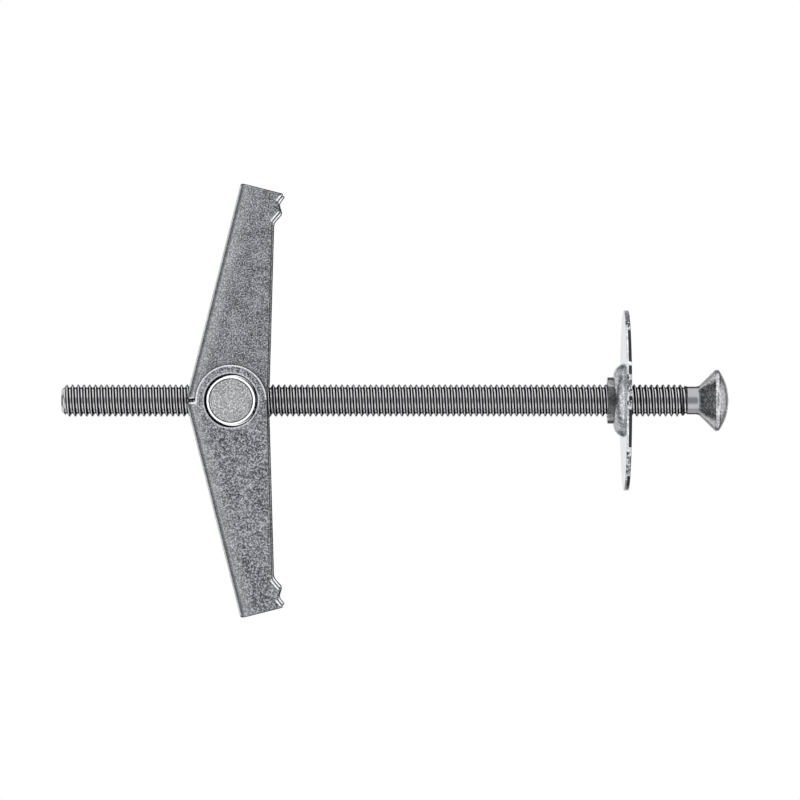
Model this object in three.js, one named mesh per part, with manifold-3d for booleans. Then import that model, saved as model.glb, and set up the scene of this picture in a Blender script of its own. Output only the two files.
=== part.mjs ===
// Spring toggle wall anchor with an M4 x 80 screw, in millimetres.
//
// Frame: +X runs along the screw from its tip to its head, +Z up through the opened wings, and
// Y along the pivot of the wings. The origin is on the screw's axis, in the face of the washer
// that rests on the wall, so the room is at +X and the cavity behind the wall at -X.

import * as THREE from 'three';
import { mergeVertices } from 'three/addons/utils/BufferGeometryUtils.js';
import Module from 'manifold-3d';

const wasm = await Module();
wasm.setup();

const degrees = THREE.MathUtils.degToRad;

// Screw: M4 coarse thread, raised countersunk head with a cross recess.
const PITCH = 0.7;
const CREST_RADIUS = 2.0;
const ROOT_RADIUS = CREST_RADIUS - 0.5413 * PITCH;
const SHANK_RADIUS = 1.72;
const SCREW_TIP_X = -68.6;
const SCREW_LENGTH = 80;
const HEAD_RIM_X = SCREW_TIP_X + SCREW_LENGTH;
const HEAD_RADIUS = 3.75;
const HEAD_CONE = degrees(45);
const HEAD_RIM_LAND = 0.45;
const HEAD_RISE = 1.25;
const HEAD_FILLET = 0.8;
const THREAD_END_X = 7.8;
const THREAD_RUNOUT = 0.9;
const TIP_CHAMFER = 0.65;
const RECESS_WIDTH = 4.4;
const RECESS_SLOT = 1.0;
const RECESS_DEPTH = 2.3;
const RECESS_TAPER = 0.42;
const THREAD_START_X = SCREW_TIP_X - 2 * PITCH;
const THREAD_SEGMENTS = 10;
const ROUND_SEGMENTS = 40;
// How far a cutting shape stands out of what it cuts, and a joined one reaches in.
const CUT_MARGIN = 0.2;
const CUT_REACH = 2;

// Pivot nut: a round barrel across the screw, with a threaded hole.
const PIVOT_X = -47.8;
const BARREL_RADIUS = 2.95;
const BARREL_LENGTH = 11.1;
const BARREL_CHAMFER = 0.3;
const NUT_RADIAL_CLEARANCE = 0.06;
const NUT_FLANK_CLEARANCE = 0.04;
const NUT_THREAD_SEGMENTS = 24;

// Wings: two of the same channel of folded sheet, nested ear inside ear.
const SHEET = 0.8;
const EAR_GAP = 0.1;
const STACK_WIDTH = 10.4;
const BEND_RADIUS = 1.15;
const WING_LEAN = degrees(14.2);
const SPINE_OFFSET = 5.38;
const WING_LENGTH = 25.9;
const EAR_RADIUS = 4.42;
const PIVOT_HOLE_RADIUS = 3.15;
const FREE_EDGE_TILT = degrees(12.6);
const SPINE_END_GAP = 0.1;
const SCREW_NOTCH_RADIUS = 2.4;
// Two teeth at the wing's tip, as corners (distance from the pivot, height over the pivot line).
const TOOTH_ROOT_U = 22.3;
const TEETH = [[23.7, 0.25], [24.8, -0.42], [WING_LENGTH, 0.08]];

// Torsion spring: one wire, a coil on each side of the screw.
const WIRE_RADIUS = 0.3;
const COIL_RADIUS = 3.4;
const COIL_OUTER_Y = 3.15;
const COIL_INNER_Y = 2.4;
const SPRING_REST_V = -4.22;
const FREE_ARM_REACH = 10.5;
const BRIDGE_REACH = 9.5;
const BRIDGE_CORNER = 0.8;
const COIL_LEVEL_TURN = degrees(95);
const COIL_STEPS = 24;
const WIRE_STEPS = 128;

// Washer: a flat disc with a pressed cup and a neck.
const WASHER_RADIUS = 11;
const WASHER_THICKNESS = 0.6;
const WASHER_EDGE = 0.12;
const CUP_DEPTH = 1.28;
const CUP_ROUND = 1.75;
const NECK_RADIUS = 2.85;
const NECK_DEPTH = 2.0;
const NECK_LIP = 0.25;
const WASHER_HOLE_RADIUS = 2.2;
const SEAT_MOUTH_RADIUS = 4.1;

/** Turns a closed geometry into a solid that can be joined and cut. */
function toSolid(geometry) {
  const bare = geometry.clone();
  bare.deleteAttribute('normal');
  bare.deleteAttribute('uv');
  const merged = mergeVertices(bare, 1e-5);
  const corners = merged.index.array;
  const triVerts = [];
  for (let i = 0; i < corners.length; i += 3) {
    const [a, b, c] = [corners[i], corners[i + 1], corners[i + 2]];
    if (a !== b && b !== c && c !== a) triVerts.push(a, b, c);
  }
  return new wasm.Manifold(new wasm.Mesh({
    numProp: 3,
    vertProperties: new Float32Array(merged.attributes.position.array),
    triVerts: new Uint32Array(triVerts),
  }));
}

/** Turns a solid back into a geometry. */
function toGeometry(solid) {
  const mesh = solid.getMesh();
  const geometry = new THREE.BufferGeometry();
  geometry.setAttribute('position', new THREE.BufferAttribute(mesh.vertProperties, 3));
  geometry.setIndex(new THREE.BufferAttribute(mesh.triVerts, 1));
  return geometry;
}

/** A body of revolution about the X axis, from a profile of [x, radius] corners. */
function turned(profile, segments = ROUND_SEGMENTS) {
  const points = profile.map(([x, radius]) => new THREE.Vector2(radius, x));
  return new THREE.LatheGeometry(points, segments).rotateZ(-Math.PI / 2);
}

/** Corners along an arc in [x, radius] space, both ends included. */
function arcCorners(centreX, centreRadius, radius, from, to, steps) {
  const corners = [];
  for (let i = 0; i <= steps; i += 1) {
    const angle = from + ((to - from) * i) / steps;
    corners.push([centreX + radius * Math.cos(angle), centreRadius + radius * Math.sin(angle)]);
  }
  return corners;
}

/**
 * A threaded rod along +X with a right-hand thread. Corners are [offset, radius] across one
 * pitch, starting at the foot of the groove. Corner 4 of a section is corner 0 one turn on.
 */
function threadedRod(startX, turns, segments, corners) {
  const last = turns * segments;
  const positions = [];
  const vertexOf = new Map();
  const vertex = (section, corner) => {
    if (corner === corners.length) return vertex(section + segments, 0);
    const key = section * corners.length + corner;
    if (!vertexOf.has(key)) {
      const [offset, radius] = corners[corner];
      const angle = (2 * Math.PI * section) / segments;
      const x = startX + (PITCH * section) / segments + offset;
      vertexOf.set(key, positions.length / 3);
      positions.push(x, radius * Math.cos(angle), radius * Math.sin(angle));
    }
    return vertexOf.get(key);
  };
  const onAxis = (x) => {
    positions.push(x, 0, 0);
    return positions.length / 3 - 1;
  };

  const triangles = [];
  for (let section = 0; section < last; section += 1) {
    for (let corner = 0; corner < corners.length; corner += 1) {
      const a = vertex(section, corner);
      const b = vertex(section + 1, corner);
      const c = vertex(section + 1, corner + 1);
      const d = vertex(section, corner + 1);
      triangles.push(a, b, c, a, c, d);
    }
  }
  const startCentre = onAxis(startX + PITCH / 2);
  const endCentre = onAxis(startX + PITCH * (turns + 0.5));
  for (let corner = 0; corner < corners.length; corner += 1) {
    triangles.push(startCentre, vertex(0, corner), vertex(0, corner + 1));
    triangles.push(endCentre, vertex(last, corner + 1), vertex(last, corner));
  }
  for (let section = 0; section < segments; section += 1) {
    triangles.push(startCentre, vertex(section + 1, 0), vertex(section, 0));
    triangles.push(endCentre, vertex(last + section, 0), vertex(last + section + 1, 0));
  }

  const geometry = new THREE.BufferGeometry();
  geometry.setAttribute('position', new THREE.Float32BufferAttribute(positions, 3));
  geometry.setIndex(triangles);
  return geometry;
}

/** Corners of the standard metric thread form, grown by a radial and a flank clearance. */
function threadForm(radial, flank) {
  return [
    [flank, ROOT_RADIUS + radial],
    [PITCH / 4 - flank, ROOT_RADIUS + radial],
    [PITCH * 0.5625 - flank, CREST_RADIUS + radial],
    [PITCH * 0.6875 + flank, CREST_RADIUS + radial],
  ];
}

/** The tapered cross that the driver fits, cut into the head from its top. */
function crossRecess() {
  const top = HEAD_RIM_X + HEAD_RIM_LAND / 2 + HEAD_RISE;
  const depth = RECESS_DEPTH + CUT_MARGIN;
  const width = RECESS_WIDTH / 2;
  const slot = RECESS_SLOT / 2;
  const cross = [
    [width, slot], [slot, slot], [slot, width], [-slot, width], [-slot, slot], [-width, slot],
    [-width, -slot], [-slot, -slot], [-slot, -width], [slot, -width], [slot, -slot], [width, -slot],
  ];
  const outline = new THREE.Shape(cross.map(([y, z]) => new THREE.Vector2(y, z)));
  const recess = new THREE.ExtrudeGeometry(outline, { depth, bevelEnabled: false });
  const position = recess.attributes.position;
  for (let i = 0; i < position.count; i += 1) {
    const bottom = position.getZ(i) < depth / 2;
    const scale = bottom ? RECESS_TAPER : 1;
    position.setXYZ(i, top - RECESS_DEPTH + position.getZ(i),
      position.getX(i) * scale, position.getY(i) * scale);
  }
  return recess.rotateX(Math.PI / 4);
}

/** Screw: thread, plain neck under the head, and the head with its recess. */
function screwGeometry() {
  const turns = Math.ceil((THREAD_END_X - THREAD_START_X) / PITCH) + 1;
  const rod = threadedRod(THREAD_START_X, turns, THREAD_SEGMENTS, threadForm(0, 0));
  const envelope = turned([
    [SCREW_TIP_X, 0],
    [SCREW_TIP_X, CREST_RADIUS - TIP_CHAMFER],
    [SCREW_TIP_X + TIP_CHAMFER + CUT_MARGIN, CREST_RADIUS + CUT_MARGIN],
    [THREAD_END_X - THREAD_RUNOUT, CREST_RADIUS + CUT_MARGIN],
    [THREAD_END_X, SHANK_RADIUS],
    [THREAD_END_X, 0],
  ]);

  const rimStartX = HEAD_RIM_X - HEAD_RIM_LAND / 2;
  const coneEndX = rimStartX - (HEAD_RADIUS - SHANK_RADIUS) / Math.tan(HEAD_CONE);
  const filletStartX = coneEndX - HEAD_FILLET * Math.tan(HEAD_CONE / 2);
  const fillet = arcCorners(filletStartX, SHANK_RADIUS + HEAD_FILLET, HEAD_FILLET,
    -Math.PI / 2, HEAD_CONE - Math.PI / 2, 4);
  const rimTopX = HEAD_RIM_X + HEAD_RIM_LAND / 2;
  const domeRadius = (HEAD_RADIUS ** 2 + HEAD_RISE ** 2) / (2 * HEAD_RISE);
  const domeAngle = Math.asin(HEAD_RADIUS / domeRadius);
  const dome = arcCorners(rimTopX + HEAD_RISE - domeRadius, 0, domeRadius, domeAngle, 0, 8);
  dome[dome.length - 1][1] = 0;
  const head = turned([
    [THREAD_END_X - CUT_MARGIN, 0],
    [THREAD_END_X - CUT_MARGIN, SHANK_RADIUS],
    ...fillet,
    [rimStartX, HEAD_RADIUS],
    ...dome,
  ]);
  const blank = toSolid(rod).intersect(toSolid(envelope)).add(toSolid(head));
  return toGeometry(blank.subtract(toSolid(crossRecess())));
}

/**
 * Pivot nut: the barrel, with the screw's thread and its clearance cut through the middle. The
 * cutting thread starts a turn or more before the barrel and ends a turn or more behind it.
 */
function pivotNutGeometry() {
  const half = BARREL_LENGTH / 2;
  const barrel = new THREE.LatheGeometry([
    new THREE.Vector2(0, -half),
    new THREE.Vector2(BARREL_RADIUS - BARREL_CHAMFER, -half),
    new THREE.Vector2(BARREL_RADIUS, BARREL_CHAMFER - half),
    new THREE.Vector2(BARREL_RADIUS, half - BARREL_CHAMFER),
    new THREE.Vector2(BARREL_RADIUS - BARREL_CHAMFER, half),
    new THREE.Vector2(0, half),
  ], ROUND_SEGMENTS);
  const turnsBefore = Math.floor((PIVOT_X - BARREL_RADIUS - THREAD_START_X) / PITCH) - 1;
  const turnsInside = Math.ceil((2 * BARREL_RADIUS) / PITCH) + 3;
  const form = threadForm(NUT_RADIAL_CLEARANCE, NUT_FLANK_CLEARANCE);
  const tap = threadedRod(THREAD_START_X + turnsBefore * PITCH, turnsInside,
    NUT_THREAD_SEGMENTS, form);
  tap.translate(-PIVOT_X, 0, 0);
  return toGeometry(toSolid(barrel).subtract(toSolid(tap)));
}

/** Cross-section of the channel: X across the channel from its spine, Y along the pivot. */
function channelSection() {
  const spine = -SPINE_OFFSET;
  const outerFar = STACK_WIDTH / 2;
  const outerNear = -(STACK_WIDTH / 2 - SHEET - EAR_GAP);
  const innerRadius = BEND_RADIUS - SHEET;
  const bendX = spine + BEND_RADIUS;
  const openX = EAR_RADIUS + CUT_REACH;
  const section = new THREE.Shape();
  section.moveTo(openX, outerNear);
  section.lineTo(bendX, outerNear);
  section.absarc(bendX, outerNear + BEND_RADIUS, BEND_RADIUS, -Math.PI / 2, -Math.PI, true);
  section.lineTo(spine, outerFar - BEND_RADIUS);
  section.absarc(bendX, outerFar - BEND_RADIUS, BEND_RADIUS, Math.PI, Math.PI / 2, true);
  section.lineTo(openX, outerFar);
  section.lineTo(openX, outerFar - SHEET);
  section.lineTo(bendX, outerFar - SHEET);
  section.absarc(bendX, outerFar - BEND_RADIUS, innerRadius, Math.PI / 2, Math.PI, false);
  section.lineTo(spine + SHEET, outerNear + BEND_RADIUS);
  section.absarc(bendX, outerNear + BEND_RADIUS, innerRadius, Math.PI, 1.5 * Math.PI, false);
  section.lineTo(openX, outerNear + SHEET);
  return section;
}

/** Side outline of a wing: X across the channel, Y along the wing, with the pivot at 0, 0. */
function wingOutline() {
  const behindSpine = -SPINE_OFFSET - CUT_REACH;
  const spineEndU = (v) => SPINE_END_GAP / Math.cos(WING_LEAN) + v * Math.tan(WING_LEAN);
  const freeEdgeV = (u) => EAR_RADIUS / Math.cos(FREE_EDGE_TILT) - u * Math.tan(FREE_EDGE_TILT);
  const earStart = Math.PI + WING_LEAN;
  const outline = new THREE.Shape();
  outline.moveTo(behindSpine, WING_LENGTH);
  outline.lineTo(behindSpine, spineEndU(behindSpine));
  outline.lineTo(EAR_RADIUS * Math.cos(earStart), spineEndU(EAR_RADIUS * Math.cos(earStart)));
  outline.absarc(0, 0, EAR_RADIUS, earStart, 2 * Math.PI + FREE_EDGE_TILT, false);
  outline.lineTo(freeEdgeV(TOOTH_ROOT_U), TOOTH_ROOT_U);
  for (const [u, v] of TEETH) outline.lineTo(v, u);
  return outline;
}

/** Wing, standing along +Z from its pivot, with its spine at -X. */
function wingGeometry() {
  const reach = WING_LENGTH + 2 * EAR_RADIUS;
  const channel = new THREE.ExtrudeGeometry(channelSection(),
    { depth: reach, bevelEnabled: false, curveSegments: 2 });
  channel.translate(0, 0, -EAR_RADIUS - CUT_REACH);
  const depth = STACK_WIDTH + CUT_REACH;
  const side = new THREE.ExtrudeGeometry(wingOutline(),
    { depth, bevelEnabled: false, curveSegments: 16 });
  side.rotateX(Math.PI / 2).translate(0, depth / 2, 0);
  const pivotHole = new THREE.CylinderGeometry(PIVOT_HOLE_RADIUS, PIVOT_HOLE_RADIUS, depth,
    ROUND_SEGMENTS);
  const notchLength = 4 * EAR_RADIUS;
  const screwNotch = new THREE.CylinderGeometry(SCREW_NOTCH_RADIUS, SCREW_NOTCH_RADIUS,
    notchLength, ROUND_SEGMENTS);
  screwNotch.rotateZ(Math.PI / 2).rotateY(-WING_LEAN);
  const blank = toSolid(channel).intersect(toSolid(side));
  return toGeometry(blank.subtract(toSolid(pivotHole)).subtract(toSolid(screwNotch)));
}

/** A point beside a wing's spine, from the pivot: side +1 is the upper wing, -1 the lower. */
function besideSpine(side, reach, y) {
  const x = reach * Math.sin(WING_LEAN) + SPRING_REST_V * Math.cos(WING_LEAN);
  const z = reach * Math.cos(WING_LEAN) - SPRING_REST_V * Math.sin(WING_LEAN);
  return new THREE.Vector3(x, y, side * z);
}

/** Angle, about the pivot, where a straight arm that ends at a point touches the coil's circle. */
function tangentAngle(point, side) {
  const distance = Math.hypot(point.x, point.z);
  return Math.atan2(point.z, point.x) + side * Math.acos(COIL_RADIUS / distance);
}

/**
 * Half of the wire's centre line, from the free arm's tip to the bridge's corner. The coil stays
 * level at both ends and steps over to its second turn in between.
 */
function springHalf(hand) {
  const armTip = besideSpine(-1, FREE_ARM_REACH, hand * COIL_OUTER_Y);
  const bridgeEnd = besideSpine(1, BRIDGE_REACH, hand * COIL_INNER_Y);
  const startAngle = tangentAngle(armTip, -1) + 2 * Math.PI;
  const endAngle = tangentAngle(bridgeEnd, 1) - 2 * Math.PI;
  const coil = [];
  for (let i = 0; i <= COIL_STEPS; i += 1) {
    const angle = startAngle + ((endAngle - startAngle) * i) / COIL_STEPS;
    const share = THREE.MathUtils.smoothstep(startAngle - angle, COIL_LEVEL_TURN,
      startAngle - endAngle - COIL_LEVEL_TURN);
    const y = hand * THREE.MathUtils.lerp(COIL_OUTER_Y, COIL_INNER_Y, share);
    coil.push(new THREE.Vector3(COIL_RADIUS * Math.cos(angle), y, COIL_RADIUS * Math.sin(angle)));
  }
  const points = [];
  for (const share of [0, 0.3, 0.6, 0.85]) points.push(armTip.clone().lerp(coil[0], share));
  points.push(...coil);
  const bridgeArm = coil[coil.length - 1];
  for (const share of [0.15, 0.4, 0.7]) points.push(bridgeArm.clone().lerp(bridgeEnd, share));

  const along = bridgeEnd.clone().sub(bridgeArm).normalize();
  const inward = new THREE.Vector3(0, -hand, 0);
  const centre = bridgeEnd.clone().addScaledVector(along, -BRIDGE_CORNER)
    .addScaledVector(inward, BRIDGE_CORNER);
  for (const angle of [0, 30, 60, 90].map(degrees)) {
    points.push(centre.clone().addScaledVector(along, BRIDGE_CORNER * Math.sin(angle))
      .addScaledVector(inward, -BRIDGE_CORNER * Math.cos(angle)));
  }
  return points;
}

/** Torsion spring: one wire from one free arm over both coils to the other free arm. */
function springGeometry() {
  const points = [...springHalf(-1), ...springHalf(1).reverse()];
  const centreLine = new THREE.CatmullRomCurve3(points);
  const section = new THREE.Shape().absarc(0, 0, WIRE_RADIUS, 0, 2 * Math.PI, false);
  return new THREE.ExtrudeGeometry(section,
    { steps: WIRE_STEPS, extrudePath: centreLine, curveSegments: 4 });
}

/** Washer: disc, pressed cup with a countersunk seat, and the neck that centres it. */
function washerGeometry() {
  const seatDepth = SEAT_MOUTH_RADIUS - WASHER_HOLE_RADIUS;
  const seatEndX = WASHER_THICKNESS - seatDepth;
  const cupCentreX = CUP_ROUND - CUP_DEPTH;
  const cupEndAngle = Math.PI - Math.acos(cupCentreX / CUP_ROUND);
  const cup = arcCorners(cupCentreX, NECK_RADIUS, CUP_ROUND, Math.PI, cupEndAngle, 6);
  return turned([
    [-NECK_DEPTH, WASHER_HOLE_RADIUS],
    [-NECK_DEPTH, NECK_RADIUS - NECK_LIP],
    [-NECK_DEPTH + NECK_LIP, NECK_RADIUS],
    ...cup,
    [0, WASHER_RADIUS - WASHER_EDGE],
    [WASHER_EDGE, WASHER_RADIUS],
    [WASHER_THICKNESS - WASHER_EDGE, WASHER_RADIUS],
    [WASHER_THICKNESS, WASHER_RADIUS - WASHER_EDGE],
    [WASHER_THICKNESS, SEAT_MOUTH_RADIUS],
    [seatEndX, WASHER_HOLE_RADIUS],
    [-NECK_DEPTH, WASHER_HOLE_RADIUS],
  ]);
}

/** A named piece with a metal finish of its own. */
function piece(name, geometry, color, roughness) {
  const material = new THREE.MeshStandardMaterial({ color, roughness, metalness: 1 });
  const mesh = new THREE.Mesh(geometry, material);
  mesh.name = name;
  return mesh;
}

const screw = piece('screw', screwGeometry(), 0xb4b6bb, 0.3);
const washer = piece('washer', washerGeometry(), 0xa6a8ad, 0.4);
const pivotNut = piece('pivot_nut', pivotNutGeometry(), 0xa9abb0, 0.42);
const torsionSpring = piece('torsion_spring', springGeometry(), 0x8f9196, 0.35);
const wing = wingGeometry();
const upperWing = piece('wing_upper', wing, 0x9b9da2, 0.5);
const lowerWing = piece('wing_lower', wing, 0x9b9da2, 0.5);

// The wings are one stamping: the lower one is turned half a turn about the screw's axis.
upperWing.rotation.y = WING_LEAN;
lowerWing.rotation.y = WING_LEAN;
const turnedOver = new THREE.Group();
turnedOver.rotation.x = Math.PI;
turnedOver.add(lowerWing);

const toggle = new THREE.Group();
toggle.position.x = PIVOT_X;
toggle.add(pivotNut, torsionSpring, upperWing, turnedOver);

const anchor = new THREE.Group();
anchor.add(screw, washer, toggle);

export default anchor;
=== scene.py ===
"""Spring toggle wall anchor: fine surfaces, materials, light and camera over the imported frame."""

import math

import bmesh
import bpy
from mathutils import Matrix, Vector


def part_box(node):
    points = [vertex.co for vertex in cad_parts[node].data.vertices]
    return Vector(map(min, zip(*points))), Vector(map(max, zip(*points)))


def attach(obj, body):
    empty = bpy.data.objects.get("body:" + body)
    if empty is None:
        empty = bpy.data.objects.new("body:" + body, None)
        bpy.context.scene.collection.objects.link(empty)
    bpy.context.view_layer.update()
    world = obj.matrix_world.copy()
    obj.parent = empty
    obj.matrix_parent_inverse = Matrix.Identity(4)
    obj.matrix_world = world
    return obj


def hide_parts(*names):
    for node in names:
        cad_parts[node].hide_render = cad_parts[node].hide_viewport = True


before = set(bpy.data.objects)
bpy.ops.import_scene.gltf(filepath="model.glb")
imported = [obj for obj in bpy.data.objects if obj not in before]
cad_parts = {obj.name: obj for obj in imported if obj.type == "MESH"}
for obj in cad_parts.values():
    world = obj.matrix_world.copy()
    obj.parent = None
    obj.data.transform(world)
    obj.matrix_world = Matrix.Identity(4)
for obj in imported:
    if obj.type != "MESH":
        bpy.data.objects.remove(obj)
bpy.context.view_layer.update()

MM = 0.001

# Sizes in millimetres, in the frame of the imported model: +X along the screw towards its head,
# +Z up through the wings, and the origin on the screw's axis at the washer's wall face.
screw_low, screw_high = (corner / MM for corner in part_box("screw"))
nut_low, nut_high = (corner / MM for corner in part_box("pivot_nut"))
washer_low, washer_high = (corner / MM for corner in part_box("washer"))
wing_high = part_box("wing_upper")[1] / MM

# Screw, M4 x 0.7.
PITCH = 0.7
CREST = 2.0  # radius
THREAD_DEPTH = 0.5413 * PITCH
ROOT = CREST - THREAD_DEPTH
SHANK = 1.72  # radius
TIP_X = screw_low.x
THREAD_END_X = 7.8
RUNOUT = 0.9
TIP_FACE = 1.35  # radius
TIP_RING = 0.9  # radius of a ring of vertices on that face
HEAD_START = 9.2
HEAD_RIM_X = 11.4
HEAD_RADIUS = screw_high.y
RIM_LAND = 0.45
HEAD_FILLET = 0.8
HEAD_EDGE_ROUND = 0.16
RECESS_WIDTH = 4.4
RECESS_SLOT = 1.0
RECESS_DEPTH = 2.3
RECESS_TAPER = 0.42  # width at the bottom as a part of the width at the top
RECESS_MARGIN = 0.2

# Pivot nut.
PIVOT_X = (nut_low.x + nut_high.x) / 2
BARREL_RADIUS = nut_high.z
BARREL_HALF = nut_high.y
CHAMFER_WIDTH = 0.24
CHAMFER_DEPTH = 0.14
CHAMFER_ROUND = 0.04
SHADE_RING_WIDTH = 0.14  # width of a ring of painted shade inside the chamfer
TAP_MARGIN = 1.5
TAP_CLEARANCE = 0.06

# Wings: v is the distance across a wing from the pivot, u the distance along it.
SHEET = 0.8
EAR_GAP = 0.1  # between the outer ear of one wing and the inner ear of the other
STACK_HALF = wing_high.y
BEND_RADIUS = 1.15  # outside the bend
LEAN = math.radians(14.2)  # of each open wing towards the head
SPINE = 5.38  # from the pivot to the outside of the channel's back
WING_LENGTH = 25.9  # from the pivot
EAR = 4.42  # radius
EAR_START_GAP = 0.03  # radians
PIVOT_HOLE = 3.15  # radius
FREE_EDGE_TILT = math.radians(12.6)
SPINE_END_GAP = 0.1
EDGE_ROUND = 0.32
SCREW_NOTCH = 2.4  # radius
NOTCH_DEPTH = 9
TOOTH_ROOT_U = 22.3
TEETH = [(23.7, 0.25), (24.8, -0.42), (WING_LENGTH, 0.08)]  # (u, v)
CUT_MARGIN = 1

# Torsion spring.
WIRE = 0.3  # radius
COIL = 3.4  # radius of the wire's centre line
COIL_OUTER_Y = 3.15
COIL_INNER_Y = 2.4
SPRING_REST_V = -4.22  # v of the arms' ends, just inside a channel's back
FREE_ARM_REACH = 10.5
BRIDGE_REACH = 9.5
BRIDGE_CORNER = 0.8  # radius
ARM_INSET = 0.015  # how much less an arm's radius is than that of the coil it turns in
HIDDEN_TURN = math.radians(95)  # how far each arm carries on inside the coil
COIL_STEPS = 144
ARM_STEPS = 20
CORNER_STEPS = 9
WIRE_END_ROUND = 0.05

# Washer.
WASHER_RADIUS = washer_high.y
WASHER_THICKNESS = washer_high.x
RIM_ROUND = 0.12
RIM_TEAR = 0.24  # where the smooth part of the sheared rim ends and the torn part starts
CUP_DEPTH = 1.28
CUP_ROUND = 1.75
NECK_RADIUS = 2.85
NECK_LIP = 0.25
NECK_DEPTH = -washer_low.x
WASHER_HOLE = 2.2
SEAT_MOUTH = 4.1

# Sides of the round shapes.
ROUND = 96
THREAD_ROUND = 40
WASHER_ROUND = 128

# Painted light of a face: 1 is a painted highlight, 0 is plain and -1 is painted shade.
BEND_PAINTED_LIGHT = {11: 0, 30: -0.35, 52: -0.6, 87: 0.25}  # painted shade and painted highlights on the bends, up to each number of degrees of tilt
EDGE_TURN = 0.6  # an edge's faces that point less than this along the pivot get painted shade
HOLE_BAND = 0.4
EAR_MARGIN = 0.1
SPINE_CORNER = 1
TOOTH_MARGIN = 0.3
# Painted highlights on the wings' sheared edges round the pivot and under the teeth, and painted
# shade on their other edges.
HOLE_EDGE_HIGHLIGHT = 0.30
EAR_EDGE_HIGHLIGHT = 0.45
TOOTH_EDGE_HIGHLIGHT = 0.8
OTHER_EDGE_SHADE = -0.35
CHAMFER_SLANT = (0.3, 0.99)  # how far the chamfer's faces, which get a painted highlight, point along the barrel
# Painted shade of the ring just inside the nut's chamfer.
SHADE_RING_DARKNESS = -0.9
# Painted shade on the washer's neck, darkest across its middle and lighter above and below.
NECK_MIDDLE = 0.6  # half height of the darkest painted shade, as a part of the neck's radius
NECK_SHADE = -0.85
NECK_TOP_SHADE = -0.45
# Painted reflections on the washer's sheared rim: dark and bright patches round its torn and smooth
# parts.
RIM_PATCHES = 7
RIM_PATCH_ANGLE = 2.53
TORN_LEVEL = -0.1
TORN_REFLECTIONS = (-1, 0.1)  # in the patches and between them
SMOOTH_LEVEL = -0.6
SMOOTH_REFLECTIONS = (0.5, -0.5)  # in the patches and between them
# Colours of the painted highlights and the painted shade.
PAINTED_HIGHLIGHT_TONE = (0.80, 0.80, 0.81)
PAINTED_SHADE_TONE = (0.03, 0.03, 0.03)

# Materials: sizes in millimetres, and ranges of a noise from its dark to its light spots.
GRAIN_RANGE = (0.44, 0.64)
MOTTLE = 1.5
MOTTLE_RANGE = (0.40, 0.60)
MOTTLE_SHARE = 0.15
GLOSS_SPREAD = 0.05
SMOOTH_BUMP = 0.1  # strength of the bumps where a piece isn't coarse
SMOOTH_GLOSS = 0.6  # roughness there, as a part of what it is where the piece is coarse
TONE_STEP = 0.05  # width of the change from one tone to the next
LIT_STRIP_V = (-4.2, -3.2)  # v of the outer and inner side of the painted light beside the bends
LIT_STRIP_SHARE = 0.18
RIM_BAND = 0.2
CUP_GRAIN = 0.45
# Painted shade on the thread's flanks.
FLANK_SHADE_TONE = (0.035, 0.035, 0.036)
SHANK_TONE = (0.30, 0.30, 0.31)

# Studio: where each part of the reflected room starts and ends, as parts of a unit direction.
ARCH_EDGE = (0.35, 0.60)
ARCH_END = (0.40, 0.58)
BACKDROP_EDGE = (0.86, 0.95)
BACKDROP_SHARE = 0.58
FRONT_EDGE = (-0.50, 0.15)
FRONT_CORE = (-0.97, -0.80)
FRONT_CORE_SHARE = 0.36
SIDE_EDGE = (-0.60, -0.30)
SIDE_BACK = (0.10, 0.40)
SIDE_SHARE = 0.7
ROOM_TONE = (0.14, 0.14, 0.142)
ARCH_TONE = (1.65, 1.65, 1.67)

# Camera and floor, in millimetres.
VIEW_CENTRE = Vector((-27.3, 0, 0.06))
VIEW_WIDTH = 97.73
VIEW_DISTANCE = 650
SENSOR_WIDTH = 36
FLOOR_RADIUS = 90
FLOOR_DROP = -220
FLOOR_TONE = (0.85, 0.85, 0.86)


# ---------------------------------------------------------------- mesh helpers

def new_object(name, verts, faces):
    """A closed mesh object in millimetres, with doubles merged and faces pointing out."""
    mesh = bpy.data.meshes.new(name)
    mesh.from_pydata(verts, [], faces)
    bm = bmesh.new()
    bm.from_mesh(mesh)
    bmesh.ops.remove_doubles(bm, verts=bm.verts, dist=1e-4)
    bmesh.ops.recalc_face_normals(bm, faces=bm.faces)
    bm.to_mesh(mesh)
    bm.free()
    obj = bpy.data.objects.new(name, mesh)
    bpy.context.scene.collection.objects.link(obj)
    return obj


def apply_modifiers(obj):
    """Replaces an object's mesh by what its modifiers make of it."""
    graph = bpy.context.evaluated_depsgraph_get()
    mesh = bpy.data.meshes.new_from_object(obj.evaluated_get(graph))
    obj.modifiers.clear()
    obj.data = mesh


def boolean(obj, tool, operation):
    """Joins or cuts an object with a tool, and removes the tool."""
    modifier = obj.modifiers.new("boolean", "BOOLEAN")
    modifier.operation = operation
    modifier.solver = "EXACT"
    modifier.object = tool
    apply_modifiers(obj)
    bpy.data.objects.remove(tool)


def bevel_edges(obj, width, angle=30, segments=2):
    """Rounds every edge that is sharper than an angle. The new faces go in the last material
    slot, if there are any slots."""
    modifier = obj.modifiers.new("bevel", "BEVEL")
    modifier.width = width
    modifier.segments = segments
    modifier.limit_method = "ANGLE"
    modifier.angle_limit = math.radians(angle)
    modifier.use_clamp_overlap = False
    modifier.material = len(obj.data.materials) - 1
    apply_modifiers(obj)


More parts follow.
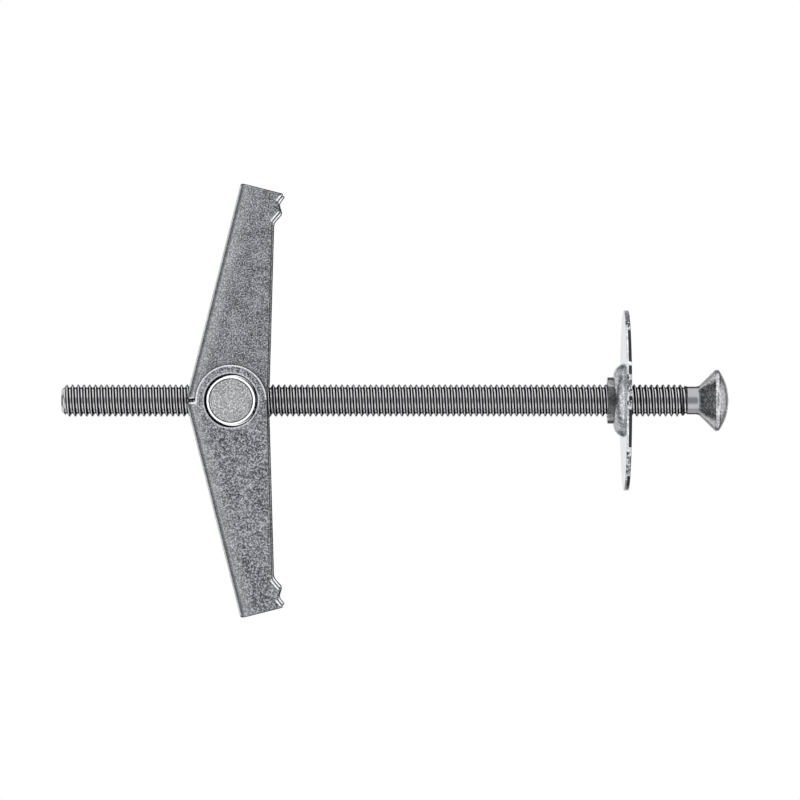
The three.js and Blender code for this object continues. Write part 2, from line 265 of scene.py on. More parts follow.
def finish_piece(obj, body, material, replaced=(), smooth_angle=35):
    """Scales a piece to metres, smooths it, and hands it to the frame."""
    obj.data.transform(Matrix.Scale(MM, 4))
    obj.data.shade_smooth()
    obj.data.set_sharp_from_angle(angle=math.radians(smooth_angle))
    weighted = obj.modifiers.new("flat_faces", "WEIGHTED_NORMAL")
    weighted.keep_sharp = True
    apply_modifiers(obj)
    obj.data.materials.clear()
    obj.data.materials.append(material)
    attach(obj, body)
    if replaced:
        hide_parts(*replaced)


def mark_painted_light(obj, painted_light_of):
    """Stores on each face its painted highlight or painted shade, for its material."""
    painted_light = obj.data.attributes.new("painted_light", "FLOAT", "FACE")
    for face in obj.data.polygons:
        painted_light.data[face.index].value = painted_light_of(face)


def turned(name, profile, segments=ROUND):
    """A body of revolution about X from a list of (x, radius), which starts and ends on the
    axis or closes on itself."""
    verts = []
    for x, radius in profile:
        for j in range(segments):
            angle = 2 * math.pi * j / segments
            verts.append((x, radius * math.cos(angle), radius * math.sin(angle)))
    faces = []
    for i in range(len(profile) - 1):
        for j in range(segments):
            k = (j + 1) % segments
            faces.append((i * segments + j, i * segments + k,
                          (i + 1) * segments + k, (i + 1) * segments + j))
    return new_object(name, verts, faces)


def extruded(name, outline, low, high, place):
    """A prism: an outline of (a, b) swept from low to high, each point put in space by place."""
    count = len(outline)
    verts = [place(a, b, low) for a, b in outline] + [place(a, b, high) for a, b in outline]
    faces = [tuple(range(count)), tuple(reversed(range(count, 2 * count)))]
    faces += [(i, (i + 1) % count, (i + 1) % count + count, i + count) for i in range(count)]
    return new_object(name, verts, faces)


def arc(centre_a, centre_b, radius, start, end, steps):
    """Points along an arc, angles in radians, both ends included."""
    angles = [start + (end - start) * i / steps for i in range(steps + 1)]
    return [(centre_a + radius * math.cos(t), centre_b + radius * math.sin(t)) for t in angles]


def rounded(corners, radius, steps=4):
    """A profile with each inner corner replaced by a small arc, which takes less than half of
    the sides it joins."""
    points = [corners[0]]
    for before, corner, after in zip(corners, corners[1:], corners[2:]):
        corner = Vector(corner)
        back = Vector(before) - corner
        on = Vector(after) - corner
        reach = min(radius, back.length * 0.45, on.length * 0.45)
        start = corner + back.normalized() * reach
        end = corner + on.normalized() * reach
        for i in range(steps + 1):
            t = i / steps
            point = start * (1 - t) ** 2 + corner * 2 * t * (1 - t) + end * t ** 2
            points.append((point.x, point.y))
    points.append(corners[-1])
    return points


# ---------------------------------------------------------------- pieces

def thread_form(grow=0.0):
    """One pitch of the thread as (share of the pitch, radius), with a rounded root and crest."""
    root = ROOT + grow
    crest = CREST + grow
    middle = (root + crest) / 2
    return [
        (0.00, root + 0.030), (0.04, root + 0.003), (0.11, root), (0.18, root + 0.003),
        (0.22, root + 0.030), (0.365, middle), (0.51, crest - 0.030), (0.55, crest - 0.003),
        (0.61, crest), (0.67, crest - 0.003), (0.71, crest - 0.030), (0.855, middle),
    ]


def thread_shell(start_x, end_x, envelope, form, segments):
    """Vertices and faces of a right-hand thread between two planes, as a helical grid."""
    turns = int((end_x - start_x) / PITCH) + 3
    per_turn = len(form)
    rows = turns * per_turn
    verts = []
    for i in range(rows + 1):
        share, radius = form[i % per_turn]
        for j in range(segments):
            angle = 2 * math.pi * j / segments
            along = (i // per_turn + share + j / segments - 1) * PITCH
            x = min(max(start_x + along, start_x), end_x)
            r = min(radius, envelope(x))
            verts.append((x, r * math.cos(angle), r * math.sin(angle)))
    faces = []
    for i in range(rows):
        for j in range(segments - 1):
            low = i * segments + j
            faces.append((low, low + 1, low + 1 + segments, low + segments))
        if i + 1 + per_turn <= rows:
            low = i * segments + segments - 1
            seam = (i + per_turn) * segments
            faces.append((low, seam, seam + segments, low + segments))
    return verts, faces


def screw_envelope(x):
    """Largest radius of the screw at x: the chamfered tip and the run-out of the thread."""
    tip = TIP_FACE + (x - TIP_X)
    runout = SHANK + (THREAD_END_X - x) * (CREST - SHANK) / RUNOUT
    return max(min(tip, runout), 0.01)


def head_profile():
    """Head and neck as (x, radius), from the end of the thread to the top of the dome."""
    rim_start = HEAD_RIM_X - RIM_LAND / 2
    cone_start = rim_start - (HEAD_RADIUS - SHANK)
    fillet_x = cone_start - HEAD_FILLET * math.tan(math.pi / 8)
    neck = arc(fillet_x, SHANK + HEAD_FILLET, HEAD_FILLET, -math.pi / 2, -math.pi / 4, 8)
    rim_top = HEAD_RIM_X + RIM_LAND / 2
    rise = screw_high.x - rim_top
    dome_radius = (HEAD_RADIUS ** 2 + rise ** 2) / (2 * rise)
    edge = math.asin(HEAD_RADIUS / dome_radius)
    dome = arc(screw_high.x - dome_radius, 0, dome_radius, edge, 0, 24)
    rim = rounded([neck[-1], (rim_start, HEAD_RADIUS), (rim_top, HEAD_RADIUS), dome[2]],
                  HEAD_EDGE_ROUND)
    return [(THREAD_END_X, SHANK)] + neck[:-1] + rim + dome[3:]


def cross_recess():
    """The tapered cross that the driver fits, as a tool that cuts it."""
    width = RECESS_WIDTH / 2
    slot = RECESS_SLOT / 2
    arm = [(width, -slot), (width, slot), (slot, slot)]
    outline = []
    for quarter in range(4):
        turn = Matrix.Rotation(quarter * math.pi / 2 + math.pi / 4, 2)
        outline += [tuple(turn @ Vector(point)) for point in arm]
    top = screw_high.x + RECESS_MARGIN
    depth = RECESS_DEPTH + RECESS_MARGIN

    def place(a, b, level):
        scale = RECESS_TAPER + (1 - RECESS_TAPER) * level
        return (top - depth * (1 - level), a * scale, b * scale)

    return extruded("recess", outline, 0, 1, place)


def make_screw(material):
    """Screw: rolled thread with its run-out and chamfered tip, head with a cross recess."""
    verts, faces = thread_shell(TIP_X, THREAD_END_X, screw_envelope, thread_form(), THREAD_ROUND)
    rings = [(TIP_X, 0.0), (TIP_X, TIP_RING), (TIP_X, TIP_FACE)]
    for profile in (rings, head_profile()):
        base = len(verts)
        for x, radius in profile:
            for j in range(THREAD_ROUND):
                angle = 2 * math.pi * j / THREAD_ROUND
                verts.append((x, radius * math.cos(angle), radius * math.sin(angle)))
        for i in range(len(profile) - 1):
            for j in range(THREAD_ROUND):
                low = base + i * THREAD_ROUND
                k = (j + 1) % THREAD_ROUND
                faces.append((low + j, low + k, low + THREAD_ROUND + k, low + THREAD_ROUND + j))
    screw = new_object("machine_screw", verts, faces)
    boolean(screw, cross_recess(), "DIFFERENCE")
    finish_piece(screw, "screw", material, ["screw"], smooth_angle=40)


def washer_painted_light(face):
    """Painted light of the washer: painted shade on its neck, and painted reflections in patches on
    its sheared rim, which are dark on the torn part and bright on the smooth part."""
    x, y, z = face.center
    if x < -CUP_DEPTH:
        return NECK_SHADE if abs(z) < NECK_RADIUS * NECK_MIDDLE else NECK_TOP_SHADE
    if math.hypot(y, z) < WASHER_RADIUS - RIM_ROUND:
        return 0
    angle = math.atan2(z, y)
    patches = math.cos(RIM_PATCHES * (angle - RIM_PATCH_ANGLE))
    pattern = patches + 0.5 * math.sin(23 * angle) + 0.4 * math.sin(41 * angle)
    if x > RIM_TEAR:
        return TORN_REFLECTIONS[0] if pattern > TORN_LEVEL else TORN_REFLECTIONS[1]
    return SMOOTH_REFLECTIONS[0] if pattern > SMOOTH_LEVEL else SMOOTH_REFLECTIONS[1]


def make_washer(material):
    """Washer: disc with a dished cup, a countersunk seat, and the neck pressed through it."""
    seat_end = WASHER_THICKNESS - (SEAT_MOUTH - WASHER_HOLE)
    cup_x = CUP_ROUND - CUP_DEPTH
    cup_end = math.pi - math.acos(cup_x / CUP_ROUND)
    cup = arc(cup_x, NECK_RADIUS, CUP_ROUND, math.pi, cup_end, 12)
    lip_middle = (-NECK_DEPTH, (WASHER_HOLE + NECK_RADIUS) / 2)
    neck = rounded([lip_middle, (-NECK_DEPTH, NECK_RADIUS), (-CUP_DEPTH, NECK_RADIUS)], NECK_LIP, 6)
    disc = rounded([
        cup[-2],
        (0, cup[-1][1]),
        (0, WASHER_RADIUS),
        (RIM_TEAR, WASHER_RADIUS),
        (WASHER_THICKNESS, WASHER_RADIUS),
        (WASHER_THICKNESS, SEAT_MOUTH),
        (seat_end, WASHER_HOLE),
        (-NECK_DEPTH, WASHER_HOLE),
        lip_middle,
    ], RIM_ROUND, 5)
    washer = turned("dished_washer", neck[:-1] + cup[:-2] + disc, WASHER_ROUND)
    mark_painted_light(washer, washer_painted_light)
    finish_piece(washer, "washer", material, ["washer"])


def make_pivot_nut(material):
    """Pivot nut: chamfered barrel along Y with the screw's thread cut through its middle."""
    inner = BARREL_RADIUS - CHAMFER_WIDTH
    shoulder = BARREL_HALF - CHAMFER_DEPTH
    profile = rounded([
        (-BARREL_HALF, 0), (-BARREL_HALF, inner - SHADE_RING_WIDTH), (-BARREL_HALF, inner),
        (-shoulder, BARREL_RADIUS), (shoulder, BARREL_RADIUS),
        (BARREL_HALF, inner), (BARREL_HALF, inner - SHADE_RING_WIDTH), (BARREL_HALF, 0),
    ], CHAMFER_ROUND)
    barrel = turned("pivot_barrel", profile)
    across = Matrix.Rotation(math.pi / 2, 4, "Z")
    barrel.data.transform(Matrix.Translation((PIVOT_X, 0, 0)) @ across)
    turns_before = round((PIVOT_X - BARREL_RADIUS - TAP_MARGIN - TIP_X) / PITCH)
    start = TIP_X + PITCH * turns_before
    end = start + 2 * (BARREL_RADIUS + TAP_MARGIN)
    form = thread_form(TAP_CLEARANCE)
    verts, faces = thread_shell(start, end, lambda x: CREST + TAP_MARGIN, form, THREAD_ROUND)
    tap = new_object("tap", verts, faces)
    bm = bmesh.new()
    bm.from_mesh(tap.data)
    bmesh.ops.holes_fill(bm, edges=[edge for edge in bm.edges if edge.is_boundary])
    bmesh.ops.recalc_face_normals(bm, faces=bm.faces)
    bm.to_mesh(tap.data)
    bm.free()
    boolean(barrel, tap, "DIFFERENCE")
    mark_painted_light(barrel, barrel_painted_light)
    finish_piece(barrel, "toggle_nut", material, ["pivot_nut"])


def channel_section(steps=10):
    """Cross-section of a wing as (v, y): v across the channel from its spine, y along the pivot."""
    near = -(STACK_HALF - SHEET - EAR_GAP)
    far = STACK_HALF
    inner = BEND_RADIUS - SHEET
    bend = BEND_RADIUS - SPINE
    mouth = EAR + 2 * CUT_MARGIN
    quarter = math.pi / 2
    outer = [(mouth, near)]
    outer += arc(bend, near + BEND_RADIUS, BEND_RADIUS, -quarter, -2 * quarter, steps)
    outer += arc(bend, far - BEND_RADIUS, BEND_RADIUS, 2 * quarter, quarter, steps)
    outer += [(mouth, far), (mouth, far - SHEET)]
    outer += arc(bend, far - BEND_RADIUS, inner, quarter, 2 * quarter, steps)
    outer += arc(bend, near + BEND_RADIUS, inner, 2 * quarter, 3 * quarter, steps)
    return outer + [(mouth, near + SHEET)]


def wing_outline():
    """Side outline of a wing as (v, u): u along the wing from its pivot."""
    behind = -SPINE - CUT_MARGIN

    def spine_end(v):
        return SPINE_END_GAP / math.cos(LEAN) + v * math.tan(LEAN)

    def free_edge(u):
        return EAR / math.cos(FREE_EDGE_TILT) - u * math.tan(FREE_EDGE_TILT)

    ear_start = math.pi + LEAN
    outline = [(behind, WING_LENGTH), (behind, spine_end(behind))]
    outline.append((EAR * math.cos(ear_start), spine_end(EAR * math.cos(ear_start))))
    ear_end = 2 * math.pi + FREE_EDGE_TILT
    outline += arc(0, 0, EAR, ear_start + EAR_START_GAP, ear_end, 64)
    outline.append((free_edge(TOOTH_ROOT_U), TOOTH_ROOT_U))
    return outline + [(v, u) for u, v in TEETH]


def bend_painted_light(face):
    """Painted light on the outside of a wing's bends, by how far each face tilts: painted shade
    over the part nearer the flat side, and a painted highlight over the part nearer the channel's
    back.
    """
    tilt = math.degrees(math.acos(min(abs(face.normal.y), 1)))
    if face.normal.x > 0:
        return 0
    return next((painted_light for limit, painted_light in BEND_PAINTED_LIGHT.items() if tilt < limit), 0)


def edge_painted_light(face):
    """Painted light of a wing's face. Its sheared edges get painted highlights on the flat side
    round the pivot and under the teeth, and painted shade everywhere else."""
    if face.material_index == 0:
        return bend_painted_light(face)
    if abs(face.normal.y) < EDGE_TURN:
        return -1
    v, u = face.center.x, face.center.z
    radius = math.hypot(u, v)
    if radius < PIVOT_HOLE + HOLE_BAND:
        return HOLE_EDGE_HIGHLIGHT
    if radius < EAR + EAR_MARGIN or (v < -EAR + SPINE_CORNER and u < SPINE_CORNER):
        return EAR_EDGE_HIGHLIGHT
    under_tooth = u > TOOTH_ROOT_U - TOOTH_MARGIN and face.normal.z < -0.05
    return TOOTH_EDGE_HIGHLIGHT if under_tooth else OTHER_EDGE_SHADE


def barrel_painted_light(face):
    """Painted light of the nut: a painted highlight on the chamfer, and a ring of painted shade
    just inside it.
    """
    radius = math.hypot(face.center.x - PIVOT_X, face.center.z)
    inner = BARREL_RADIUS - CHAMFER_WIDTH
    if abs(face.center.y) < BARREL_HALF - 2 * CHAMFER_DEPTH:
        return 0
    if CHAMFER_SLANT[0] < abs(face.normal.y) < CHAMFER_SLANT[1] and radius > inner:
        return 1
    return SHADE_RING_DARKNESS if inner - SHADE_RING_WIDTH < radius < inner else 0


def make_wing(name, body, turned_over, material):
    """Wing: folded channel with two ears, its pivot holes, screw notch and toothed tips."""
    wing = extruded(name, channel_section(), -EAR - CUT_MARGIN, WING_LENGTH + CUT_MARGIN,
                    lambda v, y, u: (v, y, u))
    reach = STACK_HALF + CUT_MARGIN
    side = extruded("side", wing_outline(), -reach, reach, lambda v, u, y: (v, y, u))
    boolean(wing, side, "INTERSECT")
    hole = turned("hole", [(-reach, 0), (-reach, PIVOT_HOLE), (reach, PIVOT_HOLE), (reach, 0)])
    hole.data.transform(Matrix.Rotation(math.pi / 2, 4, "Z"))
    boolean(wing, hole, "DIFFERENCE")
    notch = turned("notch", [(-NOTCH_DEPTH, 0), (-NOTCH_DEPTH, SCREW_NOTCH),
                             (0, SCREW_NOTCH), (0, 0)])
    notch.data.transform(Matrix.Rotation(-LEAN, 4, "Y"))
    boolean(wing, notch, "DIFFERENCE")
    # Slot 0 is for the sheet and slot 1 for its edges, which the bevel makes.
    for slot in range(2):
        wing.data.materials.append(None)
    for face in wing.data.polygons:
        face.material_index = 0
    bevel_edges(wing, EDGE_ROUND, segments=4)
    mark_painted_light(wing, edge_painted_light)
    place = Matrix.Rotation(LEAN, 4, "Y")
    if turned_over:
        place = Matrix.Rotation(math.pi, 4, "X") @ place
    wing.data.transform(Matrix.Translation((PIVOT_X, 0, 0)) @ place)
    finish_piece(wing, body, material, [name.replace("toggle_", "")])


def beside_spine(side, reach, y):
    """A point beside a wing's spine, from the pivot: side +1 is the upper wing, -1 the lower."""
    x = reach * math.sin(LEAN) + SPRING_REST_V * math.cos(LEAN)
    z = reach * math.cos(LEAN) - SPRING_REST_V * math.sin(LEAN)
    return Vector((x, y, side * z))


def tangent_angle(point, side):
    """Angle about the pivot where a straight arm that ends at a point touches the coil."""
    return math.atan2(point.z, point.x) + side * math.acos(COIL / math.hypot(point.x, point.z))


def on_coil(angle, y):
    """A point of the coil's centre line."""
    return Vector((COIL * math.cos(angle), y, COIL * math.sin(angle)))


def tube(points, radius, sides=16):
    """Vertices and faces of a round wire along points, with domed ends."""
    verts, faces = [], []
    tangent = (points[1] - points[0]).normalized()
    across = tangent.orthogonal().normalized()
    for i, point in enumerate(points):
        before = points[max(i - 1, 0)]
        after = points[min(i + 1, len(points) - 1)]
        heading = (after - before).normalized()
        across = (across - heading * across.dot(heading)).normalized()
        up = heading.cross(across)
        for j in range(sides):
            angle = 2 * math.pi * j / sides
            verts.append(point + (across * math.cos(angle) + up * math.sin(angle)) * radius)
    for i in range(len(points) - 1):
        for j in range(sides):
            k = (j + 1) % sides
            low = i * sides
            faces.append((low + j, low + k, low + sides + k, low + sides + j))
    faces.append(tuple(reversed(range(sides))))
    faces.append(tuple(range(len(verts) - sides, len(verts))))
    return verts, faces


def make_wire(name, lines, radius, body, material):
    """One piece of the spring from the centre lines of its stretches of wire."""
    verts, faces = [], []
    for line in lines:
        more_verts, more_faces = tube([p + Vector((PIVOT_X, 0, 0)) for p in line], radius)
        faces += [tuple(index + len(verts) for index in face) for face in more_faces]
        verts += more_verts
    wire = new_object(name, verts, faces)
    bevel_edges(wire, WIRE_END_ROUND, angle=60)
    finish_piece(wire, body, material)
    return wire


def coil_line(start, end, hand):
    """Centre line of one coil. It changes over from its outer to its inner plane between the
    stretches that hold the arms."""
    points = []
    for i in range(COIL_STEPS + 1):
        angle = start + (end - start) * i / COIL_STEPS
        ramp = (start - angle - HIDDEN_TURN) / (start - end - 2 * HIDDEN_TURN)
        share = min(max(ramp, 0.0), 1.0)
        share = share * share * (3 - 2 * share)
        y = COIL_OUTER_Y + (COIL_INNER_Y - COIL_OUTER_Y) * share
        points.append(on_coil(angle, hand * y))
    return points


def make_spring(material):
    """Torsion spring: coils on the nut, free arms on the lower wing, bridge on the upper wing.
    Each arm carries on round the coil inside its wire, so no gap opens as its wing folds."""
    coils, arms, bridge_sides = [], [], []
    for hand in (-1, 1):
        arm_tip = beside_spine(-1, FREE_ARM_REACH, hand * COIL_OUTER_Y)
        bridge_end = beside_spine(1, BRIDGE_REACH, hand * COIL_INNER_Y)
        start = tangent_angle(arm_tip, -1) + 2 * math.pi
        end = tangent_angle(bridge_end, 1) - 2 * math.pi
        coils.append(coil_line(start, end, hand))
        arm_turns = [HIDDEN_TURN * i / ARM_STEPS for i in range(ARM_STEPS + 1)]
        arm_arc = [on_coil(start - turn, hand * COIL_OUTER_Y) for turn in arm_turns]
        arms.append([arm_tip, arm_tip.lerp(arm_arc[0], 0.5)] + arm_arc)
        bridge_arc = [on_coil(end + turn, hand * COIL_INNER_Y) for turn in reversed(arm_turns)]
        along = (bridge_end - bridge_arc[-1]).normalized()
        inward = Vector((0, -hand, 0))
        centre = bridge_end - along * BRIDGE_CORNER + inward * BRIDGE_CORNER
        corner_turns = [math.pi / 2 * i / CORNER_STEPS for i in range(CORNER_STEPS + 1)]
        corner = [centre + (along * math.sin(turn) - inward * math.cos(turn)) * BRIDGE_CORNER
                  for turn in corner_turns]
        bridge_sides.append(bridge_arc + [bridge_arc[-1].lerp(corner[0], 0.5)] + corner)
    bridge = bridge_sides[0] + bridge_sides[1][::-1]
    coil_piece = make_wire("spring_coils", coils, WIRE, "toggle_nut", material)
    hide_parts("torsion_spring")
    make_wire("spring_free_arms", arms, WIRE - ARM_INSET, "lower_wing", material)
    make_wire("spring_bridge", [bridge], WIRE - ARM_INSET, "upper_wing", material)


# ---------------------------------------------------------------- materials

class Nodes:
    """A material's nodes, with short calls for the kinds that are used here. A value in a call
    is the output socket of another node. A color is one too, or a plain tuple."""

    def __init__(self, name):
        self.material = bpy.data.materials.new(name)
        self.material.use_nodes = True
        self.nodes = self.material.node_tree.nodes
        self.shader = self.nodes["Principled BSDF"]
        self.place = self.nodes.new("ShaderNodeTexCoord").outputs["Object"]

    def link(self, output, socket):
        """Joins an output socket to an input socket."""
        self.material.node_tree.links.new(output, socket)

    def noise(self, size):
        """A noise from 0 to 1 whose largest spots have this size in millimetres."""
        node = self.nodes.new("ShaderNodeTexNoise")
        node.inputs["Scale"].default_value = 1 / (size * MM)
        node.inputs["Detail"].default_value = 3
        node.inputs["Roughness"].default_value = 0.6
        self.link(self.place, node.inputs["Vector"])
        return node.outputs["Fac"]

    def spread(self, value, start, end, low, high):
        """A value that goes from low at the start to high at the end, and no further."""
        node = self.nodes.new("ShaderNodeMapRange")
        node.inputs["From Min"].default_value = start
        node.inputs["From Max"].default_value = end
        node.inputs["To Min"].default_value = low
        node.inputs["To Max"].default_value = high
        self.link(value, node.inputs["Value"])
        return node.outputs["Result"]

    def combine(self, operation, a, b):
        """The sum, product or other result of two values."""
        node = self.nodes.new("ShaderNodeMath")
        node.operation = operation
        self.link(a, node.inputs[0])
        self.link(b, node.inputs[1])
        return node.outputs[0]

    def mix(self, share, a, b):
        """Color a where the share is 0, and color b where it is 1."""
        node = self.nodes.new("ShaderNodeMix")
        node.data_type = "RGBA"
        for socket, color in ((node.inputs["A"], a), (node.inputs["B"], b)):
            if isinstance(color, tuple):
                socket.default_value = (*[min(part, 1) for part in color], 1)
            else:
                self.link(color, socket)
        self.link(share, node.inputs["Factor"])
        return node.outputs["Result"]


def along_axis(build):
    """How far a point lies along the screw's axis."""
    parts = build.nodes.new("ShaderNodeSeparateXYZ")
    build.link(build.place, parts.inputs["Vector"])
    return parts.outputs["X"]


def distance_from_axis(build):
    """The distance of a point from the screw's axis."""
    across = build.nodes.new("ShaderNodeVectorMath")
    across.operation = "MULTIPLY"
    build.link(build.place, across.inputs[0])
    across.inputs[1].default_value = (0, 1, 1)
    length = build.nodes.new("ShaderNodeVectorMath")
    length.operation = "LENGTH"
    build.link(across.outputs["Vector"], length.inputs[0])
    return length.outputs["Value"]


def ends(build, value, low, high, low_share=1):
    """1 beyond the high mark, 0 between the marks, and a share of its own below the low one."""
    before = build.spread(value, low * MM, (low + TONE_STEP) * MM, low_share, 0)
    after = build.spread(value, high * MM, (high + TONE_STEP) * MM, 0, 1)
    return build.combine("ADD", before, after)


def metal(name, color, roughness, grain, contrast, bump, coarse=None, tint=None, lit_strip=None):
    """Zinc-plated steel: fine grain in its tone, gloss and surface, and a little mottling in its
    tone. Grain and bump are sizes in millimetres. Only the coarse part, if one is given, is as
    grainy as that, and tint changes the tone of the rest. The lit strip, if one is given, gets a
    painted light. Faces get painted highlights and painted shade from their stored painted light
    value."""
    build = Nodes(name)
    build.shader.inputs["Metallic"].default_value = 1.0
    fine = build.noise(grain)
    broad = build.noise(MOTTLE)
    blend = build.combine("ADD", build.spread(fine, *GRAIN_RANGE, 0, 1 - MOTTLE_SHARE),
                          build.spread(broad, *MOTTLE_RANGE, 0, MOTTLE_SHARE))
    dark = tuple((1 - contrast) * part for part in color)
    light = tuple((1 + contrast) * part for part in color)
    grainy = build.mix(blend, dark, light)
    dent = build.nodes.new("ShaderNodeBump")
    dent.inputs["Distance"].default_value = bump * MM
    build.link(fine, dent.inputs["Height"])
    build.link(dent.outputs["Normal"], build.shader.inputs["Normal"])
    gloss = build.spread(fine, *GRAIN_RANGE, roughness - GLOSS_SPREAD, roughness + GLOSS_SPREAD)
    if coarse:
        share = coarse(build)
        build.link(build.spread(share, 0, 1, SMOOTH_BUMP, 1), dent.inputs["Strength"])
        plain = tint(build, color) if tint else color
        grainy = build.mix(share, plain, grainy)
        gloss = build.combine("MULTIPLY", gloss, build.spread(share, 0, 1, SMOOTH_GLOSS, 1))
    # Painted light on a strip beside the wings' bends.
    if lit_strip:
        grainy = build.mix(lit_strip(build), grainy, PAINTED_HIGHLIGHT_TONE)
    # Painted highlights and painted shade, by each face's stored value.
    painted_light = build.nodes.new("ShaderNodeAttribute")
    painted_light.attribute_name = "painted_light"
    painted_level = painted_light.outputs["Fac"]
    grainy = build.mix(build.spread(painted_level, 0, 1, 0, 1), grainy, PAINTED_HIGHLIGHT_TONE)
    grainy = build.mix(build.spread(painted_level, -1, 0, 1, 0), grainy, PAINTED_SHADE_TONE)
    build.link(grainy, build.shader.inputs["Base Color"])
    build.link(gloss, build.shader.inputs["Roughness"])
    return build.material


def head_only(build):
    """The head of the screw, which is coarser than its rolled thread."""
    return build.spread(along_axis(build), HEAD_START * MM, (HEAD_START + TONE_STEP) * MM, 0, 1)


def rim_and_cup(build):
    """The washer's sheared rim and its pressed cup, which are coarser than its flat disc."""
    radius = distance_from_axis(build)
    return ends(build, radius, NECK_RADIUS + CUP_ROUND, WASHER_RADIUS - RIM_BAND, CUP_GRAIN)


def lit_beside_bend(build):
    """The strip of a wing's sheet beside its bends, which gets a painted light."""
    folded = build.nodes.new("ShaderNodeVectorMath")
    folded.operation = "ABSOLUTE"
    build.link(build.place, folded.inputs[0])
    across = build.nodes.new("ShaderNodeVectorMath")
    across.operation = "DOT_PRODUCT"
    build.link(folded.outputs["Vector"], across.inputs[0])
    across.inputs[1].default_value = (-math.cos(LEAN), 0, -math.sin(LEAN))
    start, end = ((PIVOT_X * math.cos(LEAN) + v) * MM for v in LIT_STRIP_V)
    return build.spread(across.outputs["Value"], start, end, LIT_STRIP_SHARE, 0)


def flank_shade(build, color):
    """Tone of the thread: painted shade on the flanks between its roots and its crests."""
    bright = ends(build, distance_from_axis(build), ROOT + 0.01, CREST - 0.06)
    thread_end = (THREAD_END_X - TONE_STEP) * MM
    unthreaded = build.spread(along_axis(build), thread_end, THREAD_END_X * MM, 0, 1)
    return build.mix(unthreaded, build.mix(bright, FLANK_SHADE_TONE, color), SHANK_TONE)


# ---------------------------------------------------------------- light, floor and camera

def make_camera():
    """Straight on to the side of the anchor, with the whole length of the screw in view."""
    data = bpy.data.cameras.new("camera")
    data.sensor_width = SENSOR_WIDTH
    data.lens = SENSOR_WIDTH * VIEW_DISTANCE / VIEW_WIDTH
    data.clip_start = 0.01
    camera = bpy.data.objects.new("camera", data)
    bpy.context.scene.collection.objects.link(camera)
    camera.location = (VIEW_CENTRE + Vector((0, -VIEW_DISTANCE, 0))) * MM
    camera.rotation_euler = (math.pi / 2, 0, 0)
    bpy.context.scene.camera = camera


def make_floor():
    """A plain pale disc well below the anchor."""
    ring = arc(VIEW_CENTRE.x, 0, FLOOR_RADIUS, 0, 2 * math.pi, ROUND)[:-1]
    verts = [Vector((x, y, FLOOR_DROP)) * MM for x, y in ring]
    mesh = bpy.data.meshes.new("floor")
    mesh.from_pydata(verts, [], [tuple(range(ROUND))])
    floor = bpy.data.objects.new("floor", mesh)
    bpy.context.scene.collection.objects.link(floor)
    material = bpy.data.materials.new("floor_paint")
    material.use_nodes = True
    shader = material.node_tree.nodes["Principled BSDF"]
    shader.inputs["Base Color"].default_value = (*FLOOR_TONE, 1)
    shader.inputs["Roughness"].default_value = 0.9
    mesh.materials.append(material)


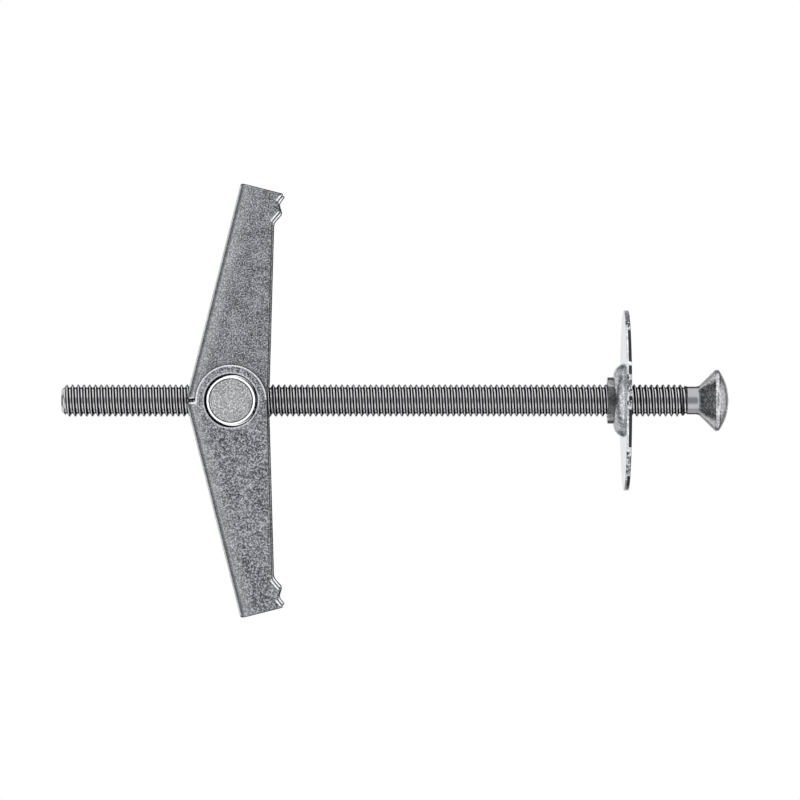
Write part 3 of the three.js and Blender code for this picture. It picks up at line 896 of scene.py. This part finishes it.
def make_world():
    """White backdrop. Reflections see a dark room with a bright arch that runs from the front
    over the anchor and under it to the backdrop, and a light behind the screw's tip."""
    world = bpy.data.worlds.new("studio")
    bpy.context.scene.world = world
    world.use_nodes = True
    nodes = world.node_tree.nodes
    links = world.node_tree.links
    seen = nodes["Background"]
    seen.inputs["Color"].default_value = (1, 1, 1, 1)
    heading = nodes.new("ShaderNodeTexCoord")
    parts = nodes.new("ShaderNodeSeparateXYZ")
    links.new(heading.outputs["Generated"], parts.inputs["Vector"])

    def fade(value, start, end, low, high):
        """A value that goes softly from low at the start to high at the end."""
        node = nodes.new("ShaderNodeMapRange")
        node.interpolation_type = "SMOOTHSTEP"
        node.inputs["From Min"].default_value = start
        node.inputs["From Max"].default_value = end
        node.inputs["To Min"].default_value = low
        node.inputs["To Max"].default_value = high
        links.new(value, node.inputs["Value"])
        return node.outputs["Result"]

    def combine(operation, a, b=None):
        """The result of an operation on one or two values."""
        node = nodes.new("ShaderNodeMath")
        node.operation = operation
        links.new(a, node.inputs[0])
        if b is not None:
            links.new(b, node.inputs[1])
        return node.outputs[0]

    arch = fade(combine("ABSOLUTE", parts.outputs["X"]), *ARCH_EDGE, 1, 0)
    arch_end = fade(parts.outputs["Y"], *ARCH_END, 1, 0)
    backdrop = fade(parts.outputs["Y"], *BACKDROP_EDGE, 0, BACKDROP_SHARE)
    arch = combine("MULTIPLY", arch, combine("MAXIMUM", arch_end, backdrop))
    front = fade(parts.outputs["Y"], *FRONT_EDGE, 1, 0)
    lens_side = fade(parts.outputs["Y"], *FRONT_CORE, FRONT_CORE_SHARE, 1)
    share = combine("MULTIPLY", combine("MAXIMUM", arch, front), lens_side)
    side = combine("MULTIPLY", fade(parts.outputs["X"], *SIDE_EDGE, 1, 0),
                   fade(parts.outputs["Y"], *SIDE_BACK, 0, SIDE_SHARE))
    share = combine("MAXIMUM", share, side)
    tone = nodes.new("ShaderNodeMix")
    tone.data_type = "RGBA"
    tone.inputs["A"].default_value = (*ROOM_TONE, 1)
    tone.inputs["B"].default_value = (*ARCH_TONE, 1)
    links.new(share, tone.inputs["Factor"])
    lit = nodes.new("ShaderNodeBackground")
    links.new(tone.outputs["Result"], lit.inputs["Color"])
    mix = nodes.new("ShaderNodeMixShader")
    path = nodes.new("ShaderNodeLightPath")
    links.new(path.outputs["Is Camera Ray"], mix.inputs["Fac"])
    links.new(lit.outputs["Background"], mix.inputs[1])
    links.new(seen.outputs["Background"], mix.inputs[2])
    links.new(mix.outputs["Shader"], nodes["World Output"].inputs["Surface"])


def add_softbox(name, location, size, radiance):
    """A soft rectangular light aimed at the middle of the anchor, its place and size in
    metres."""
    data = bpy.data.lights.new(name, "AREA")
    data.shape = "RECTANGLE"
    data.size, data.size_y = size
    data.energy = radiance * math.pi * size[0] * size[1]
    light = bpy.data.objects.new(name, data)
    bpy.context.scene.collection.objects.link(light)
    light.location = location
    target = Vector((VIEW_CENTRE.x * MM, 0, 0))
    light.rotation_mode = "QUATERNION"
    light.rotation_quaternion = (Vector(location) - target).to_track_quat("Z", "Y")


make_camera()
make_floor()
make_world()
add_softbox("head_side", location=(0.40, 0.15, 0.0), size=(0.40, 0.30), radiance=1.0)

bpy.context.scene.view_settings.view_transform = "Standard"

screw_steel = metal("screw_steel", (0.48, 0.48, 0.49), roughness=0.28, grain=0.25,
                    contrast=0.45, bump=0.015, coarse=head_only, tint=flank_shade)
washer_zinc = metal("washer_zinc", (0.42, 0.43, 0.44), roughness=0.26, grain=0.34,
                    contrast=0.98, bump=0.090, coarse=rim_and_cup)
nut_zinc = metal("nut_zinc", (0.56, 0.57, 0.58), roughness=0.32, grain=0.18,
                 contrast=0.50, bump=0.015)
wing_zinc = metal("wing_zinc", (0.33, 0.34, 0.36), roughness=0.34, grain=0.16,
                  contrast=0.80, bump=0.030, lit_strip=lit_beside_bend)
spring_steel = metal("spring_steel", (0.36, 0.37, 0.39), roughness=0.30, grain=0.15,
                     contrast=0.15, bump=0.003)

make_screw(screw_steel)
make_washer(washer_zinc)
make_pivot_nut(nut_zinc)
make_wing("toggle_wing_upper", "upper_wing", False, wing_zinc)
make_wing("toggle_wing_lower", "lower_wing", True, wing_zinc)
make_spring(spring_steel)
